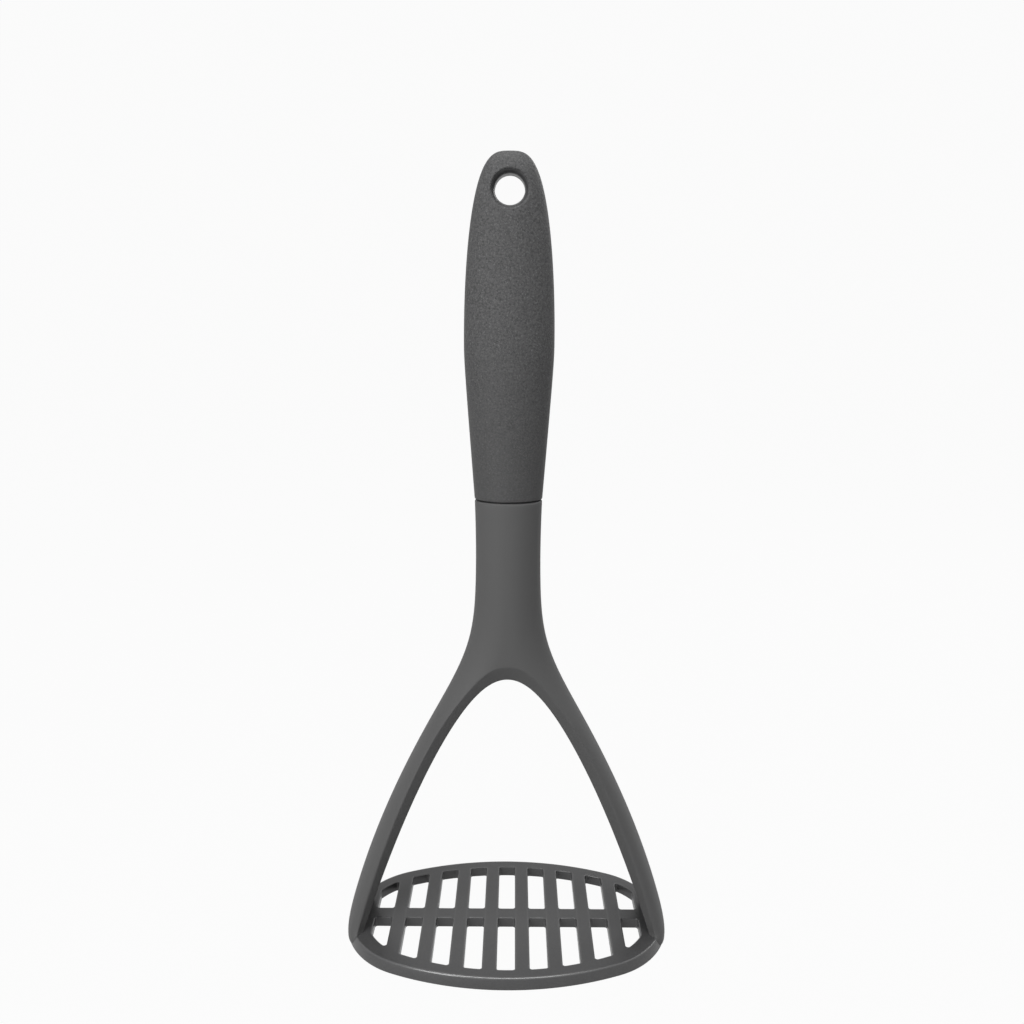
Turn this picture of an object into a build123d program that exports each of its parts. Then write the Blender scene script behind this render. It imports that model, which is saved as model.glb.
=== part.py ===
from build123d import *
from math import atan, atan2, cos, degrees, exp, hypot, log, sin, sqrt
import os

os.makedirs("parts", exist_ok=True)

# Whole masher
overall_height = 330.0
seam_height = 194.3

# Oval mashing plate
plate_half_length = 70.7
plate_half_width = 43.5
plate_side_swell = 6.75
plate_end_radius = plate_half_width - plate_side_swell
plate_thickness = 4.7
plate_draft = 1.2
plate_edge_round = 0.5

# Slots of the mashing plate
slot_columns = 9
slot_width = 7.9
slot_corner = 1.0
slot_end_gap = 5.0
rim_width = 6.65
middle_bar_width = 5.9
middle_bar_drop = 0.4
last_slot_place = plate_half_length - rim_width - slot_end_gap - slot_width / 2
slot_pitch = 2 * last_slot_place / (slot_columns - 1)

# Neck and the two legs, which share one outer skin
neck_half_width = 13.35
neck_flare_length = 27.3
seam_half_width = 13.85
seam_half_depth = 10.9
leg_crown_half_width = 20.1
leg_bow = 23.3
leg_foot_width = 6.95
flare_softness = 6.35
foot_half_depth = 16.0
foot_tuck = 1.3
foot_tuck_height = 3.75
foot_inset = 0.1
leg_cap_length = 5.8
neck_flat = 0.4
cap_softness = 11.0

# Arch between the legs and the bevel round its edges
arch_height = 119.7
arch_half_span = plate_half_length - leg_foot_width
arch_bevel_width = 6.4
arch_bevel_depth = 3.2
arch_bevel_reach = 2.0

# Hanging hole and the hard ring round it
hole_drop = 14.6
hole_radius = 5.85
hole_straight_length = 5.0
hole_flare_width = 1.35
hole_flare_length = 3.0
ring_wall = 1.8
ring_cover = 1.0
grip_mouth_round = 0.9
hole_height = overall_height - hole_drop
hole_mouth_radius = hole_radius + hole_flare_width
ring_radius = hole_mouth_radius + ring_wall

# Tang of the head, hidden in the handle, and the share of the room below the ring that it fills
tang_length_share = 0.607
tang_length = tang_length_share * (hole_height - ring_radius - seam_height)
tang_width = 14.0
tang_depth = 9.0
tang_corner = 1.5
tang_web = 2.4
tang_rib = 2.2
tang_pocket_count = 4
spigot_height = 4.0
barb_length = 6.0
barb_height = 1.0
barb_depth = 5.0
seam_edge_round = 0.5

# Handle, whose skin is the soft grip
handle_half_width = 18.05
handle_half_depth = 12.3
hanging_end_half_depth = 5.0
grip_wall = 2.2
grip_edge_round = 0.6
seam_gap = 0.6

# Hard core of the handle: its wall round the spigot and the clearance of its socket
core_wall = 2.0
socket_clearance = 0.2

# Windows that lock the soft grip to the hard core
window_count = 2
window_width = 9.0
window_length = 7.0
window_bridge = 4.0
window_corner = 2.0

# How far every cut runs on past the solid
overrun = 5.0

# The arch's curve: how round its crown is, how far its legs bow, the shares of its half span
# that carry a point, and the share of the bevel's width that is left at the foot
arch_crown_share = 0.527
arch_bow_share = 0.22
arch_span_shares = (0.0, 0.08, 0.17, 0.27, 0.38, 0.5, 0.64, 0.82, 1.0)
arch_foot_bevel_share = 0.34

# Shares of the seam's height at which the neck and legs have a section
skin_station_shares = (0.0, 0.04, 0.1, 0.2, 0.3, 0.4, 0.48, 0.55, 0.61, 0.67, 0.73, 0.8, 0.9, 1.0)

# How round the handle's tapers begin, below its widest place and towards the hanging end
lower_taper_share = 0.15
upper_taper_share = 0.25

# Exponents that close the handle's outline and its side view at the crown
upper_width_power = 0.31
end_cap_power = 10

# Share of the upper outline's length at which the crown is cut flat
crown_share = 0.998

# Shares of the handle's length, from the seam, at which it is widest and deepest
handle_widest_share = 0.463
handle_deepest_share = 0.396
handle_widest_height = seam_height + handle_widest_share * (overall_height - seam_height)
handle_deepest_height = seam_height + handle_deepest_share * (overall_height - seam_height)

# Shares of the height below and above the widest place at which the handle has a section
lower_handle_shares = (1.0, 0.8, 0.6, 0.4, 0.2)
upper_handle_shares = (0.0, 0.17, 0.34, 0.5, 0.64, 0.76, 0.85, 0.915, 0.955, 0.982, 1.0)


def oval_side_radius(half_length, half_width, end_radius):
    """Radius of the long sides of a four-arc oval."""
    end_centre = half_length - end_radius
    shortfall = half_width - end_radius
    return half_width + (end_centre**2 - shortfall**2) / (2 * shortfall)


def oval_lines(half_length, half_width, end_radius):
    """A closed oval of two end arcs and two side arcs that meet in tangency."""
    side_radius = oval_side_radius(half_length, half_width, end_radius)
    end_centre = half_length - end_radius
    side_centre = side_radius - half_width
    turn = atan2(side_centre, end_centre)
    half_turn = degrees(turn)
    CenterArc((end_centre, 0), end_radius, -half_turn, 2 * half_turn)
    CenterArc((0, -side_centre), side_radius, half_turn, 180 - 2 * half_turn)
    CenterArc((-end_centre, 0), end_radius, 180 - half_turn, 2 * half_turn)
    CenterArc((0, side_centre), side_radius, 180 + half_turn, 180 - 2 * half_turn)


def soft_fall(share, softness):
    """A hyperbola from 0 to 1: it starts level and soon falls almost evenly."""
    return hypot(sqrt(1 + 2 * softness) * share, softness) - softness


def soft_fall_slope(share, softness):
    """How fast the hyperbola falls."""
    return (1 + 2 * softness) * share / hypot(sqrt(1 + 2 * softness) * share, softness)


def skin_half_width(height):
    """The leg's leaning, bowed line runs softly over into the neck's line."""
    share = height / arch_height
    leg_root = plate_half_length - foot_inset + foot_tuck
    leg_lean = leg_root - leg_crown_half_width - leg_bow
    leg = leg_root - leg_lean * share - leg_bow * share**2
    above_waist = max(height - seam_height + neck_flare_length, 0) / neck_flare_length
    neck = neck_half_width + (seam_half_width - neck_half_width) * above_waist**2
    tuck = foot_tuck * exp(-height / foot_tuck_height)
    return neck + flare_softness * log(1 + exp((leg - neck) / flare_softness)) - tuck


def skin_half_depth(height):
    """The front and back faces lean together evenly from the foot to the seam."""
    return foot_half_depth - (foot_half_depth - seam_half_depth) * height / seam_height


def skin_cap_length(height):
    """How far the rounded side reaches in: all the way on the neck, little on a leg."""
    half_width = skin_half_width(height)
    flare = (half_width - neck_half_width) / cap_softness
    neck_cap_length = half_width - neck_flat
    return leg_cap_length + (neck_cap_length - leg_cap_length) * exp(-(flare**2))


def skin_section(height):
    """Two flat faces joined by half ellipses, one at each side."""
    half_width = skin_half_width(height)
    half_depth = skin_half_depth(height)
    cap = skin_cap_length(height)
    flat = half_width - cap
    with BuildSketch(Plane.XY.offset(height)) as section:
        with BuildLine():
            EllipticalCenterArc((flat, 0), cap, half_depth, start_angle=-90, arc_size=180)
            Line((flat, half_depth), (-flat, half_depth))
            EllipticalCenterArc((-flat, 0), cap, half_depth, start_angle=90, arc_size=180)
            Line((-flat, -half_depth), (flat, -half_depth))
        make_face()
    return section.sketch


def arch_points(bevel):
    """Points of the arch's right half, a soft fall that bows, moved out square to it by the bevel."""
    points = []
    for share in arch_span_shares:
        span = share * arch_half_span
        straight_share = 1 - arch_bow_share
        fall = straight_share * soft_fall(share, arch_crown_share) + arch_bow_share * share**3
        steepness = straight_share * soft_fall_slope(share, arch_crown_share) + 3 * arch_bow_share * share**2
        rise_share = 1 - fall
        slope = arch_height * steepness / arch_half_span
        narrowing = arch_foot_bevel_share + (1 - arch_foot_bevel_share) * rise_share
        step = bevel * narrowing / hypot(slope, 1)
        points.append((span + slope * step, rise_share * arch_height + step))
    return points


def arch_section(plane, bevel):
    """The arch's opening on a plane: one smooth curve and two legs down past the plate."""
    right = arch_points(bevel)
    left = [(-span, rise) for span, rise in reversed(right[1:])]
    foot_span, foot_rise = right[-1]
    floor = foot_rise - overrun
    with BuildSketch(plane) as section:
        with BuildLine():
            Spline(left + right)
            Line((foot_span, foot_rise), (foot_span, floor))
            Line((foot_span, floor), (-foot_span, floor))
            Line((-foot_span, floor), (-foot_span, foot_rise))
        make_face()
    return section.sketch


def handle_half_width_at(height, inset):
    """Half width of the handle's skin, or of a body set in from it."""
    if height < handle_widest_height:
        drop = (handle_widest_height - height) / (handle_widest_height - seam_height)
        seam_step = handle_half_width - seam_half_width
        return handle_half_width - inset - seam_step * soft_fall(drop, lower_taper_share)
    rise = (height - handle_widest_height) / (overall_height - inset - handle_widest_height)
    return (handle_half_width - inset) * (1 - (crown_share * rise) ** 2) ** upper_width_power


def handle_half_depth_at(height, inset):
    """Half depth of the same skin, thinner towards the hanging end and rounded at its top."""
    if height < handle_deepest_height:
        drop = (handle_deepest_height - height) / (handle_deepest_height - seam_height)
        seam_step = handle_half_depth - seam_half_depth
        return handle_half_depth - inset - seam_step * soft_fall(drop, lower_taper_share)
    thinning = (height - handle_deepest_height) / (overall_height - handle_deepest_height)
    end_step = handle_half_depth - hanging_end_half_depth
    half_depth = handle_half_depth - inset - end_step * soft_fall(thinning, upper_taper_share)
    rise = (height - handle_widest_height) / (overall_height - inset - handle_widest_height)
    return half_depth * sqrt(1 - (crown_share * max(rise, 0)) ** end_cap_power)


def handle_sections(inset, lower_end):
    """Ellipses up the handle, from its lower end to the small flat of its crown."""
    lower_length = handle_widest_height - lower_end
    upper_length = overall_height - inset - handle_widest_height
    heights = [handle_widest_height - share * lower_length for share in lower_handle_shares]
    heights += [handle_widest_height + share * upper_length for share in upper_handle_shares]
    sections = []
    for height in heights:
        with BuildSketch(Plane.XY.offset(height)) as section:
            Ellipse(handle_half_width_at(height, inset), handle_half_depth_at(height, inset))
        sections.append(section.sketch)
    return sections


# Neck and legs: one lofted skin, opened by the arch
skin_sections = [skin_section(share * seam_height) for share in skin_station_shares]
arch_opening = arch_section(Plane.XZ, 0)
with BuildPart() as leg_pair:
    loft(skin_sections)
    extrude(arch_opening, amount=foot_half_depth + overrun, both=True, mode=Mode.SUBTRACT)

# Bevel round the arch's edges, narrower towards the feet
face_lean = atan((foot_half_depth - seam_half_depth) / seam_height)
front_face = Plane(
    origin=(0, -foot_half_depth, 0), x_dir=(1, 0, 0), z_dir=(0, -cos(face_lean), sin(face_lean))
)
bevel_slope = arch_bevel_width / arch_bevel_depth
bevel_inner = arch_section(
    front_face.offset(-arch_bevel_depth - arch_bevel_reach), -bevel_slope * arch_bevel_reach
)
bevel_outer = arch_section(
    front_face.offset(arch_bevel_reach), bevel_slope * (arch_bevel_depth + arch_bevel_reach)
)
with BuildPart() as bevel_cut:
    loft([bevel_inner, bevel_outer], ruled=True)

# Mashing plate: a drafted oval with two rows of slots and a middle bar set a little lower
with BuildPart() as plate_blank:
    draft_angle = degrees(atan(plate_draft / plate_thickness))
    with BuildSketch(Plane.XY):
        with BuildLine():
            oval_lines(plate_half_length, plate_half_width, plate_end_radius)
        make_face()
    extrude(amount=plate_thickness, taper=draft_angle)
    fillet(plate_blank.edges().group_by(Axis.Z)[-1], plate_edge_round)
    with BuildSketch(Plane.XY) as slots:
        with GridLocations(slot_pitch, 0, slot_columns, 1):
            Rectangle(slot_width, 2 * plate_half_width)
        Rectangle(2 * plate_half_length, middle_bar_width, mode=Mode.SUBTRACT)
        with BuildLine():
            oval_lines(
                plate_half_length - rim_width,
                plate_half_width - rim_width,
                plate_end_radius - rim_width,
            )
        make_face(mode=Mode.INTERSECT)
        fillet(slots.vertices(), slot_corner)
    extrude(amount=plate_thickness, mode=Mode.SUBTRACT)
    with BuildSketch(Plane.XY.offset(plate_thickness - middle_bar_drop)):
        with GridLocations(slot_pitch, 0, slot_columns, 1):
            Rectangle(slot_width, middle_bar_width + 2 * slot_corner)
    extrude(amount=middle_bar_drop, mode=Mode.SUBTRACT)

# Pockets that leave the tang a web and cross ribs, on its front and back
rib_zone = tang_length - spigot_height
tang_pocket_length = (rib_zone - (tang_pocket_count + 1) * tang_rib) / tang_pocket_count
with BuildPart() as tang_pockets:
    with BuildSketch(Plane.XZ.offset(tang_web / 2)):
        with Locations((0, seam_height + spigot_height + rib_zone / 2)):
            with GridLocations(0, tang_pocket_length + tang_rib, 1, tang_pocket_count):
                RectangleRounded(tang_width - 2 * tang_rib, tang_pocket_length, tang_corner)
    extrude(amount=tang_depth / 2)
    mirror(about=Plane.XZ)


def tang_outline(clearance):
    """Spigot, tang and snap barbs, or with a clearance the socket that they push into."""
    spigot_inset = grip_wall + core_wall + socket_clearance - clearance
    barb_root = seam_height + tang_length - tang_rib
    tang_half_width = tang_width / 2 + clearance
    barb_tip = tang_half_width + barb_height
    with BuildPart() as outline:
        with BuildSketch(Plane.XY.offset(seam_height)):
            Ellipse(seam_half_width - spigot_inset, seam_half_depth - spigot_inset)
        extrude(amount=spigot_height + clearance)
        with BuildSketch(Plane.XY.offset(seam_height)):
            RectangleRounded(2 * tang_half_width, tang_depth + 2 * clearance, tang_corner)
        extrude(amount=tang_length + clearance)
        with BuildSketch(Plane.XZ):
            with BuildLine():
                Polyline(
                    (-tang_half_width, barb_root),
                    (-barb_tip, barb_root - barb_length),
                    (-barb_tip, barb_root - barb_length - barb_height - clearance),
                    (barb_tip, barb_root - barb_length - barb_height - clearance),
                    (barb_tip, barb_root - barb_length),
                    (tang_half_width, barb_root),
                    close=True,
                )
            make_face()
        extrude(amount=barb_depth / 2 + clearance, both=True)
    return outline.part


tang = tang_outline(0)
tang_socket = tang_outline(socket_clearance)

# The head is one moulding: plate, legs and neck, and the tang inside the handle
with BuildPart() as masher_head:
    add(leg_pair.part)
    fillet(masher_head.faces().sort_by(Axis.Z)[-1].edges(), seam_edge_round)
    add(bevel_cut.part, mode=Mode.SUBTRACT)
    add(bevel_cut.part.mirror(Plane.XZ), mode=Mode.SUBTRACT)
    add(plate_blank.part)
    add(tang)
    add(tang_pockets.part, mode=Mode.SUBTRACT)
masher_head.part.label = "masher_head"
export_step(masher_head.part, "parts/masher_head.step")

# Everything that the soft grip is moulded over: the core's skin, its ring and its windows
core_top = seam_height + tang_length + socket_clearance
window_pitch = window_length + window_bridge
window_middle = (core_top + hole_height - ring_radius) / 2
with BuildPart() as ring_blank:
    loft(handle_sections(ring_cover, seam_height))
    with BuildSketch(Plane.XZ):
        with Locations((0, hole_height)):
            Circle(ring_radius)
    extrude(amount=handle_half_depth, both=True, mode=Mode.INTERSECT)
with BuildPart() as core_blank:
    loft(handle_sections(grip_wall, seam_height))
    add(ring_blank.part)
    with BuildSketch(Plane.XZ):
        with Locations((0, window_middle)):
            with GridLocations(0, window_pitch, 1, window_count):
                RectangleRounded(window_width, window_length, window_corner)
    extrude(amount=handle_half_depth, both=True, mode=Mode.SUBTRACT)

# Hard core: the socket for the tang, and the hanging hole, flared at both ends
with BuildPart() as hole_cut:
    hole_half_length = hole_straight_length / 2
    with BuildSketch(Plane.XY.offset(hole_height)):
        with BuildLine():
            straight = Line((hole_radius, -hole_half_length), (hole_radius, hole_half_length))
            mouth_end = hole_half_length + hole_flare_length
            far_end = handle_half_depth + overrun
            upper_flare = TangentArc(straight @ 1, (hole_mouth_radius, mouth_end), tangent=straight % 1)
            lower_flare = TangentArc(
                straight @ 0, (hole_mouth_radius, -mouth_end), tangent=-(straight % 0)
            )
            Polyline(
                upper_flare @ 1,
                (hole_mouth_radius, far_end),
                (0, far_end),
                (0, -far_end),
                (hole_mouth_radius, -far_end),
                lower_flare @ 1,
            )
        make_face()
    revolve(axis=Axis((0, 0, hole_height), (0, 1, 0)))
with BuildPart() as handle_core:
    add(core_blank.part)
    add(tang_socket, mode=Mode.SUBTRACT)
    add(hole_cut.part, mode=Mode.SUBTRACT)
handle_core.part.label = "handle_core"
export_step(handle_core.part, "parts/handle_core.step")

# Soft grip, moulded over the core: an even skin with a rounded mouth at each end of the hole
with BuildPart() as soft_grip:
    loft(handle_sections(0, seam_height + seam_gap))
    fillet(soft_grip.faces().sort_by(Axis.Z)[0].edges(), grip_edge_round)
    with BuildSketch(Plane.XZ):
        with Locations((0, hole_height)):
            Circle(hole_mouth_radius)
    extrude(amount=handle_half_depth, both=True, mode=Mode.SUBTRACT)
    mouth_wall = soft_grip.faces().filter_by(GeomType.CYLINDER)
    fillet(mouth_wall.edges().filter_by(GeomType.LINE, reverse=True), grip_mouth_round)
    add(core_blank.part, mode=Mode.SUBTRACT)
soft_grip.part.label = "soft_grip"
export_step(soft_grip.part, "parts/soft_grip.step")
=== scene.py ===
import math

import bmesh
import bpy
import numpy as np
from bpy.props import FloatProperty, FloatVectorProperty, IntProperty, PointerProperty
from bpy.types import Operator, Panel, PropertyGroup
from mathutils import Matrix, Vector
from mathutils.geometry import delaunay_2d_cdt


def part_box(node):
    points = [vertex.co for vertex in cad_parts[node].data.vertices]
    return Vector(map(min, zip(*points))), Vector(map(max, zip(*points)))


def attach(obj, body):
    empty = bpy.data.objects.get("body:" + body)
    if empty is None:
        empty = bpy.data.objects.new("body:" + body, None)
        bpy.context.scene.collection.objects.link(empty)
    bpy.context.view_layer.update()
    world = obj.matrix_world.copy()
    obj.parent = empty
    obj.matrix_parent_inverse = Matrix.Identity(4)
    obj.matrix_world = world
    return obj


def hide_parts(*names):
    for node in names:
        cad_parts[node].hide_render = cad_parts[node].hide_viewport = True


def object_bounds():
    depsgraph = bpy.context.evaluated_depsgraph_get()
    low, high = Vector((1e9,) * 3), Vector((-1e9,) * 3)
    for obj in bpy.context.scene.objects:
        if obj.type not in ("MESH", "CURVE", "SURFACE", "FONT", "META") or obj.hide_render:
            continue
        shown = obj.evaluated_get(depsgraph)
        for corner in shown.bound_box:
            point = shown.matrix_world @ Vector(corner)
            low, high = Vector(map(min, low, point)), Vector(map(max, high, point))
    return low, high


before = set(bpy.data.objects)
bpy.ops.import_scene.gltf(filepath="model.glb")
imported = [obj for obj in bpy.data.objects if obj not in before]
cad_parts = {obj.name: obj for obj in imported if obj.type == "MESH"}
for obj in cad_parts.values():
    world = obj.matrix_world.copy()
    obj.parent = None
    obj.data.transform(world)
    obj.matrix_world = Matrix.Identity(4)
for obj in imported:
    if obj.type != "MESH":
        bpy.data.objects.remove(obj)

bl_info = {
    "name": "Potato Masher",
    "version": (1, 0, 0),
    "blender": (4, 5, 0),
    "location": "3D View > Sidebar > Masher",
    "description": "Builds a moulded potato masher: slotted plate, bowed legs, neck and soft-skinned handle",
    "category": "Object",
}

CAD_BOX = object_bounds()
HEAD_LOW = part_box("masher_head")[0]
GRIP_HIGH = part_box("soft_grip")[1]
MM = 0.001
QUARTER_TURN = 0.5 * math.pi

# Meshing: how near points are merged, the shortest edge that counts for wear, how near points of a
# flat fill are one in millimetres, the flat strip that holds a rounded edge, rings on the flat ends of
# the neck and the grip, and how far the grip's window reaches below and above the hole's axis.
SEAM_TOLERANCE = 0.5e-6
SHORTEST_EDGE = 1e-6
FILL_TOLERANCE = 1e-5
FLAT_HOLD = 0.3 * MM
SHOULDER_RINGS = np.array([1.2, 4.0]) * MM
GRIP_RINGS = np.array([3.0, 1.2, 0.4]) * MM
WINDOW_BELOW = 11.5 * MM
WINDOW_ABOVE = 11.2 * MM

# Cells of the plate's grids: along each arc of its outline, round a slot's corner, along a slot's end
# and round a small edge.
OUTLINE_CELLS = 64
CORNER_CELLS = 7
END_CELLS = 11
EDGE_CELLS = 4

# The legs' grid: the share of the arch that faces the neck's top, how its rows climb to that top, the
# most that a rounding takes of the bevel and of the skin, and a short way along the skin.
CROWN_SHARE = 0.25
EVEN_CLIMB = 0.72
LATE_CLIMB_POWER = 6
BEVEL_ROUND_SHARE = 0.3
SKIN_ROUND_SHARE = 0.2
PROBE = 0.01

# The middle bar's last rows: how many mouth radii they sink into the long bars, and how much the
# very last shrinks.
BAR_SINKS = np.array([1.4, 1.1, 0.5])
BAR_SHRINK = 0.04 * MM

# The hard ring's outer rows: how far in from its edge they lie, and their share of its wall.
RING_INSETS = np.array([0.2, 0.5]) * MM
RING_SHARES = np.array([0.45, 1.0])

# Painted edge highlights, which lighten the base colour where lamps catch narrow edges: the bend per
# millimetre and the upward facing from which the highlight starts and is full, the front rim's reach and
# where along it the highlight fades, the shoulder's height, and the share of highlight on the shoulder
# and on all edges but the front rim's middle.
BEND_START, BEND_FULL = 0.5, 1.2
FACING_START, FACING_FULL = 0.25, 0.65
RIM_REACH = 0.9
RIM_END = 52 * MM
RIM_FADE = 24 * MM
SHOULDER_LOW = 188 * MM
SHOULDER_HIGHLIGHT = 1.6
INNER_HIGHLIGHT = 0.25

# Finishes: the middle half of a noise's values, the heights between which the grip's grain gains its
# full strength, plain white, and how white the floor looks.
NOISE_LOW, NOISE_HIGH = 0.3, 0.7
GRAIN_LOW, GRAIN_HIGH = 200 * MM, 260 * MM
WHITE = (1.0, 1.0, 1.0, 1.0)
FLOOR_WHITE = 0.96

# Place and size of each lamp in metres. The powers are among the studio's settings.
LAMPS = {
    "key_lamp": ((-0.56, -0.94, 0.45), (0.35, 1.2)),
    "top_lamp": ((0, -0.3, 1.25), (0.7, 0.5)),
    "fill_lamp": ((0.75, -0.1, 1.0), (0.5, 0.7)),
    "back_lamp": ((0.65, 0.6, 0.75), (0.5, 0.5)),
}


def length(name, millimetres, description):
    """A size in metres, shown in the scene's length unit."""
    return FloatProperty(
        name=name, description=description, default=millimetres * MM, min=0.0, unit="LENGTH", precision=5
    )


def share(name, value, description):
    """A plain number, such as a share or an exponent."""
    return FloatProperty(name=name, description=description, default=value, min=0.0, precision=4)


def colour(name, value, description):
    """A linear colour."""
    return FloatVectorProperty(
        name=name, description=description, default=value, size=3, min=0.0, max=1.0, subtype="COLOR"
    )


class PlateSizes(PropertyGroup):
    half_length: length("Half length", 70.7, "Half of the plate's long axis at its underside")
    half_width: length("Half width", 43.5, "Half of the plate's short axis at its underside")
    end_radius: length("End radius", 36.75, "Radius of the oval's two end arcs")
    thickness: length("Thickness", 4.7, "Thickness of the plate")
    draft: length("Draft", 1.2, "How far the outer wall leans in from the underside to the top")
    top_round: length("Top edge round", 0.8, "Radius of the outer top edge")
    foot_round: length("Bottom edge round", 0.6, "Radius of the outer bottom edge")
    rim: length("Rim", 6.65, "Width of the rim outside the slots")
    pitch: length("Slot pitch", 13.72, "Distance from one slot column to the next")
    slot: length("Slot width", 7.55, "Width of a slot")
    corner: length("Slot corner", 1.0, "Radius of a slot's corners")
    slot_round: length("Slot mouth round", 0.45, "Radius of a slot's top edge")
    slot_foot: length("Slot foot round", 0.5, "Radius of a slot's edge at the underside")
    front_cut: length("Front cut", 2.0, "How much shorter the oval is that ends the front slots")
    bar: length("Middle bar", 7.1, "Width of the bar between the two rows of slots")
    bar_back: length("Middle bar back", 0.6, "How far the middle bar lies behind the middle")
    bar_lift: length("Middle bar lift", 0.01, "How far the middle bar's top covers the slots' mouths")
    columns: IntProperty(name="Columns", description="Columns of slots", default=9, min=1)


class HeadSizes(PropertyGroup):
    seam_height: length("Seam height", 194.3, "Height of the neck's shoulder")
    seam_half_width: length("Seam half width", 13.85, "Half width of the neck at the shoulder")
    seam_half_depth: length("Seam half depth", 10.9, "Half depth of the neck at the shoulder")
    neck_half_width: length("Neck half width", 13.35, "Half width of the neck at its waist")
    waist_height: length("Waist height", 167.0, "Height above which the neck widens to the shoulder")
    leg_root: length("Leg root", 71.9, "Half width that the legs' outer line runs down to")
    leg_crown: length("Leg crown", 20.1, "Half width of the legs' outer line at the arch's crown")
    leg_bow: length("Leg bow", 23.3, "Curved part of the legs' inward lean up to the arch's crown")
    flare: length("Flare softness", 6.35, "How softly the neck runs over into the legs")
    foot_half_depth: length("Foot half depth", 16.0, "Half depth of the legs at the plate")
    foot_tuck: length("Foot tuck", 1.3, "How far the legs' outer face tucks in at the plate")
    foot_tuck_height: length("Foot tuck height", 3.75, "Height over which the tuck fades")
    foot_sink: length("Foot sink", 0.4, "Height in the plate at which the legs' mesh ends")
    plate_top: length("Plate top", 4.7, "Height of the plate's top, where the legs' faces spread")
    foot_spread: length("Foot spread", 1.1, "How far the legs' faces spread out on the plate")
    foot_spread_height: length("Foot spread height", 1.2, "Height over which the spread fades")
    leg_cap: length("Leg cap", 5.8, "Length of the rounded outer side of a leg's section")
    neck_flat: length("Neck flat", 0.4, "Half width of the flat in the neck's section")
    cap_softness: length("Cap softness", 11.0, "Flare over which the neck's round side becomes the leg's")
    arch_height: length("Arch height", 119.7, "Height of the arch's crown")
    arch_half_span: length("Arch half span", 63.75, "Half span of the arch at the underside")
    arch_crown: share("Arch crown", 0.527, "How round the arch's crown is")
    arch_bow: share("Arch bow", 0.22, "How far the arch's legs bow")
    bevel_width: length("Bevel width", 6.4, "Width of the bevel at the crown")
    bevel_depth: length("Bevel depth", 3.2, "Depth of the bevel")
    bevel_foot_share: share("Foot bevel share", 0.34, "Share of the bevel's width left at the foot")
    crease_round: length("Crease round", 0.45, "Half width of the rounding on the bevel's edges")
    shoulder_round: length("Shoulder round", 0.7, "Radius of the neck's top edge")


class HandleSizes(PropertyGroup):
    top_height: length("Top height", 330.0, "Height of the handle's crown")
    half_width: length("Half width", 18.05, "Half width of the handle at its widest")
    half_depth: length("Half depth", 12.3, "Half depth of the handle at its deepest")
    widest_height: length("Widest height", 257.13, "Height of the widest place")
    deepest_height: length("Deepest height", 248.04, "Height of the deepest place")
    end_half_depth: length("Hanging end half depth", 6.8, "Half depth that the handle thins to at its top")
    lower_taper: share("Lower taper", 0.15, "How round the taper towards the seam begins")
    upper_taper: share("Upper taper", 0.25, "How round the taper towards the hanging end begins")
    upper_power: share("Upper power", 0.31, "Exponent of the outline above the widest place")
    cap_power: share("Crown power", 10.0, "Exponent that rounds the side view at the crown")
    wall: length("Skin wall", 2.2, "Wall of the soft skin over the core")
    gap: length("Seam gap", 0.6, "Gap between the neck's shoulder and the soft skin")
    edge_round: length("Lower edge round", 0.35, "Radius of the soft skin's lower edge")
    hole_height: length("Hole height", 315.4, "Height of the hanging hole's axis")
    hole_radius: length("Hole radius", 5.85, "Radius of the hanging hole's throat")
    hole_straight: length("Hole straight", 4.3, "Half length of the straight part of the throat")
    mouth_radius: length("Mouth radius", 7.2, "Radius of the hanging hole where its ring ends")
    mouth_round: length("Mouth round", 1.0, "Radius of the soft skin's edge round the hole")
    ring_radius: length("Ring radius", 9.0, "Outer radius of the hard ring in the skin")


class FinishColours(PropertyGroup):
    head: colour("Head", (0.076, 0.076, 0.077), "Moulded nylon of the plate, legs and neck")
    grip: colour("Grip", (0.092, 0.092, 0.093), "Soft skin of the handle")
    ring: colour("Ring", (0.060, 0.060, 0.061), "Hard plastic of the core and its ring")
    floor: colour("Floor", (0.35, 0.35, 0.35), "Pale floor and backdrop")


class StudioSettings(PropertyGroup):
    focal: share("Focal length", 32.03, "Focal length on a 36 mm wide sensor")
    yaw: share("Yaw", 0.0024, "Turn of the camera to the left, in radians")
    pitch: share("Pitch", 0.1902, "Tilt of the camera downwards, in radians")
    roll: share("Roll", 0.0055, "Roll of the camera, in radians")
    camera_x: length("Camera X", 2.36, "Camera to the right of the middle")
    camera_y: length("Camera Y", 368.84, "Camera in front of the middle")
    camera_z: length("Camera Z", 260.07, "Camera above the floor")
    world: share("World", 0.08, "Strength of the even white surroundings")
    key_lamp: share("Key lamp", 8.4, "Power of the tall lamp at the front left")
    top_lamp: share("Top lamp", 6.0, "Power of the lamp overhead")
    fill_lamp: share("Fill lamp", 0.6, "Power of the high lamp at the right")
    back_lamp: share("Back lamp", 2.4, "Power of the lamp behind, for the views from there")


class Socket:
    """A shader value. Python's operators on it, with a value or a number, add Math nodes."""

    def __init__(self, maker, socket):
        self.maker = maker
        self.socket = socket

    def maths(self, operation, first, second):
        node = self.maker.node("ShaderNodeMath", {"operation": operation}, {0: first, 1: second})
        return Socket(self.maker, node.outputs[0])

    def __add__(self, other):
        return self.maths("ADD", self, other)

    def __radd__(self, other):
        return self.maths("ADD", other, self)

    def __sub__(self, other):
        return self.maths("SUBTRACT", self, other)

    def __rsub__(self, other):
        return self.maths("SUBTRACT", other, self)

    def __mul__(self, other):
        return self.maths("MULTIPLY", self, other)

    def __rmul__(self, other):
        return self.maths("MULTIPLY", other, self)


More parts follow.
